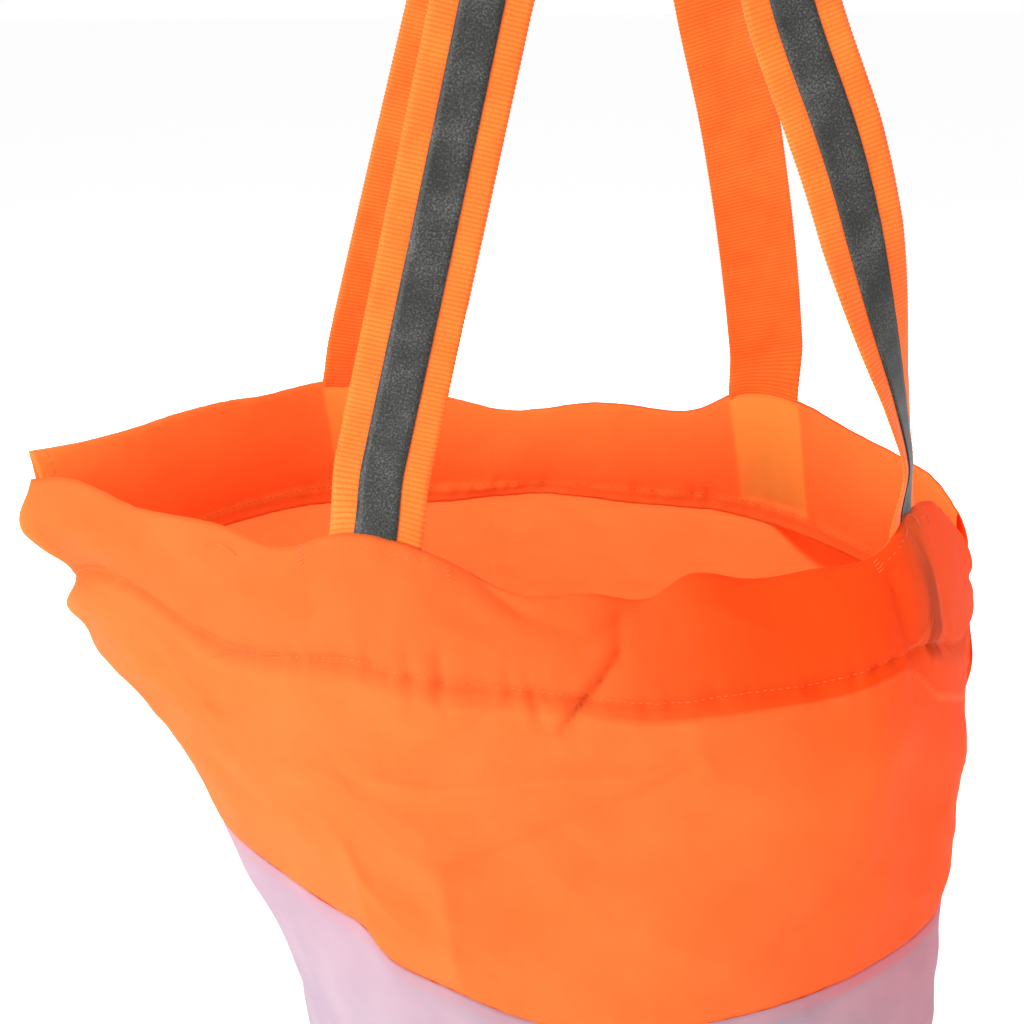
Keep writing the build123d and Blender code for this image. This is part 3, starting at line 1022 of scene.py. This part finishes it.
def stitch_row(points, out, pitch, radius=0.2, rise=0.32, seed=1.0):
    """Short bowed threads along a line on the cloth; returns vertices and faces."""
    along = lengths(points)
    count = max(1, int(along[-1] / pitch))
    starts = (np.arange(count) + 0.5 * (1 - STITCH_SHARE)) * along[-1] / count
    bits = np.linspace(0, 1, STITCH_RINGS)
    at = starts[:, None] + bits[None, :] * STITCH_SHARE * along[-1] / count
    place = np.stack([np.interp(at, along, points[:, k]) for k in range(3)], axis=-1)
    up = np.stack([np.interp(at, along, out[:, k]) for k in range(3)], axis=-1)
    up /= np.linalg.norm(up, axis=-1, keepdims=True)
    forward = np.gradient(place, axis=1)
    forward /= np.linalg.norm(forward, axis=-1, keepdims=True) + 1e-9
    beside = np.cross(forward, up)
    jitter = np.array([noise.noise(Vector((i * 0.73, seed, 0.5))) for i in range(count)])
    bow = rise * np.sin(pi * bits) ** 0.6 - 0.12
    place = place + up * bow[None, :, None] + beside * (0.35 * jitter)[:, None, None]
    thick = radius * (0.55 + 0.45 * np.sin(pi * bits))
    circle = circles(STITCH_SIDES, up, beside)
    vertices = place[:, :, None] + circle * thick[None, :, None, None]
    return vertices.reshape(-1, 3), tube_faces(count, STITCH_RINGS, STITCH_SIDES)


def thread_piece(name, rows, material):
    """One sewn line: several rows of stitches in one piece, in place of its CAD node."""
    vertices, faces = [], []
    for row_vertices, row_faces in rows:
        start = sum(len(v) for v in vertices)
        vertices.append(row_vertices)
        faces += [[k + start for k in face] for face in row_faces]
    points = world_points(np.concatenate(vertices))
    piece = mesh_object(f"{name}_thread", points, faces, material)
    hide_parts(name)
    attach(piece, "bag")


def line_on(cloth, start, end, step):
    """A line of points and normals between two cloth places."""
    count = max(2, int(hypot(end[0] - start[0], end[1] - start[1]) / step))
    s = np.linspace(start[0], end[0], count)
    h = np.linspace(start[1], end[1], count)
    return cloth.at(s, h)


def sewn_line(cloth, start, end, pitch, step=1.5, **look):
    """A straight row of stitches between two cloth places."""
    return stitch_row(*line_on(cloth, start, end, step), pitch, **look)


def loose_end(cloth, places):
    """A thread end left hanging on the cloth, as one thin bent tube."""
    s, h = np.array(places, float).T
    knots = np.arange(len(s), dtype=float)
    at = np.linspace(0, len(s) - 1, 6 * len(s))
    points, out = cloth.at(spline(knots, s, at), spline(knots, h, at))
    share = at / at[-1]
    points = points + out * (LOOSE_END_LIFT * np.sin(pi * share) ** 0.5 + 0.15)[:, None]
    forward = np.gradient(points, axis=0)
    forward /= np.linalg.norm(forward, axis=1, keepdims=True)
    beside = np.cross(forward, out)
    vertices = points[:, None] + LOOSE_END_RADIUS * circles(LOOSE_END_SIDES, out, beside)
    return vertices.reshape(-1, 3), tube_faces(len(at), LOOSE_END_SIDES)


# Stitch pitches
HEM_PITCH, BAND_PITCH, CASING_END_PITCH = 3.3, 4.5, 3.6
SIDE_PITCH, BASE_PITCH, ROOT_PITCH, TACK_PITCH = 4.2, 4.4, 3.8, 3.2
# How far the seams' ends stay off the side seams
SEAM_MARGIN, CASING_END_MARGIN, SIDE_MARGIN = 2, 7, 3
ROOT_STITCH_WIDTH = 62.0
ROOT_STITCH_HEIGHT = RIM - 4.5
TACK_ROWS, TACK_HALF, TACK_STEP = 4, 2.5, 1.6
LOOSE_ENDS = {
    "front_hem_stitches": [
        [(-172, HEM - 9), (-163, HEM - 3), (-152, HEM - 1), (-140, HEM)],
        [(128, HEM + 2), (136, HEM + 4), (145, HEM + 8), (152, HEM + 13)],
        [(128, HEM + 2), (139, HEM + 7), (147, HEM + 12)],
    ],
    "front_left_root_stitches": [[(-167, RIM - 8), (-159, RIM - 6), (-151, RIM - 8)]],
    "front_right_root_stitches": [[(146, RIM - 4), (154, RIM - 1), (162, RIM - 2), (167, RIM - 7)]],
}


def loose_ends(name, cloth):
    return [loose_end(cloth, places) for places in LOOSE_ENDS.get(name, [])]


def build_threads(cloths):
    across = HALF - SEAM_MARGIN
    edge = HALF - SIDE_MARGIN
    for name in SIDES:
        upper = cloths[f"{name}_upper"]
        outer, inner = HEM + 1, INNER_HEM - 1
        rows = [sewn_line(upper, (-across, outer), (across, outer), HEM_PITCH, radius=0.25),
                sewn_line(upper, (-across, inner), (across, inner), HEM_PITCH)]
        rows += loose_ends(f"{name}_hem_stitches", upper)
        thread_piece(f"{name}_hem_stitches", rows, ORANGE_THREAD)
        rows = [sewn_line(upper, (-across, 1.2), (across, 1.2), BAND_PITCH, radius=0.14, rise=0.2)]
        thread_piece(f"{name}_band_stitches", rows, ORANGE_THREAD)
        rows = []
        for end in (-1, 1):
            s = end * (HALF - CASING_END_MARGIN)
            for low, high in ((HEM + 3, RIM - 1), (RIM + 1, INNER_HEM - 3)):
                rows.append(sewn_line(upper, (s, low), (s, high), CASING_END_PITCH))
        thread_piece(f"{name}_casing_end_stitches", rows, ORANGE_THREAD)
        for end_name, end in ENDS.items():
            thread_name = f"{name}_{end_name}_root_stitches"
            rows = root_rows(strap_column(name, end), upper) + loose_ends(thread_name, upper)
            thread_piece(thread_name, rows, ORANGE_THREAD)
    for end_name, end in ENDS.items():
        rows = []
        for name in SIDES:
            for cloth, low, high in (("upper", 3, HEM - 2), ("lower", BASE_EDGE + 6, -3)):
                rows.append(sewn_line(cloths[f"{name}_{cloth}"], (end * edge, low), (end * edge, high),
                                      SIDE_PITCH))
        thread_piece(f"{end_name}_side_stitches", rows, ORANGE_THREAD)
    low = BASE_EDGE + 5
    rows = [sewn_line(cloths[f"{name}_lower"], (-HALF, low), (HALF, low), BASE_PITCH)
            for name in SIDES]
    thread_piece("base_stitches", rows, PALE_THREAD)


def root_rows(middle, upper):
    """The topstitch across a strap's root, with a knotted tack at each end."""
    left, right = middle - ROOT_STITCH_WIDTH / 2, middle + ROOT_STITCH_WIDTH / 2
    low = ROOT_STITCH_HEIGHT
    rows = [sewn_line(upper, (left, low), (right, low), ROOT_PITCH)]
    for tack in (left, right):
        for k in range(TACK_ROWS):
            start = (tack - TACK_HALF, low + TACK_STEP * k - 3)
            end = (tack + TACK_HALF, low + TACK_STEP * k - TACK_STEP)
            rows.append(sewn_line(upper, start, end, TACK_PITCH, step=0.8, radius=0.24, rise=0.6,
                                  seed=k))
    return rows


# ---------------------------------------------------------------- stage

FLOOR_HALF = 12.0
# Place and size in metres, and power in watts
LIGHTS = {
    "key": ((-1.25, -0.85, 0.85), 0.8, 22),
    "back": ((-0.3, 1.6, 0.8), 1.4, 54),
}
LIGHT_AIM = (0, 0, 0.35)
# The photograph's camera, fitted to the straps, the rim and the seams
CAMERA_PLACE = (-126, -613, 222)
CAMERA_DOWN, CAMERA_TURN = 22, -7.9
FOCAL_LENGTH, SENSOR_WIDTH = 50, 36


def build_stage():
    corners = [(x * FLOOR_HALF, y * FLOOR_HALF, 0) for x, y in ((-1, -1), (1, -1), (1, 1), (-1, 1))]
    floor = mesh_object("floor", corners, [(0, 1, 2, 3)], stage_material())
    world = bpy.data.worlds.new("studio")
    world.use_nodes = True
    background = world.node_tree.nodes["Background"]
    background.inputs["Color"].default_value = (1, 1, 1, 1)
    background.inputs["Strength"].default_value = 1.0
    bpy.context.scene.world = world
    for name, (place, size, power) in LIGHTS.items():
        add_light(name, place, size, power)


def stage_material():
    material, nodes, links = new_material("floor")
    surface = node(nodes, "ShaderNodeBsdfPrincipled", Roughness=0.8,
                   Base_Color=(0.98, 0.98, 0.98, 1))
    show_surface(nodes, links, surface)
    return material


def add_light(name, place, size, power):
    data = bpy.data.lights.new(name, "AREA")
    data.size = size
    data.energy = power
    light = bpy.data.objects.new(name, data)
    light.location = place
    aim = Vector(LIGHT_AIM) - Vector(place)
    light.rotation_euler = aim.to_track_quat("-Z", "Y").to_euler()
    bpy.context.scene.collection.objects.link(light)


def build_camera():
    data = bpy.data.cameras.new("camera")
    data.lens = FOCAL_LENGTH
    data.sensor_width = SENSOR_WIDTH
    camera = bpy.data.objects.new("camera", data)
    camera.location = world_points(CAMERA_PLACE)
    camera.rotation_euler = (radians(90 - CAMERA_DOWN), 0, radians(CAMERA_TURN))
    bpy.context.scene.collection.objects.link(camera)
    bpy.context.scene.camera = camera


panels = build_panels()
build_base()
build_handles(panels)
build_threads(panels)
build_stage()
build_camera()
bpy.context.scene.view_settings.view_transform = "Standard"
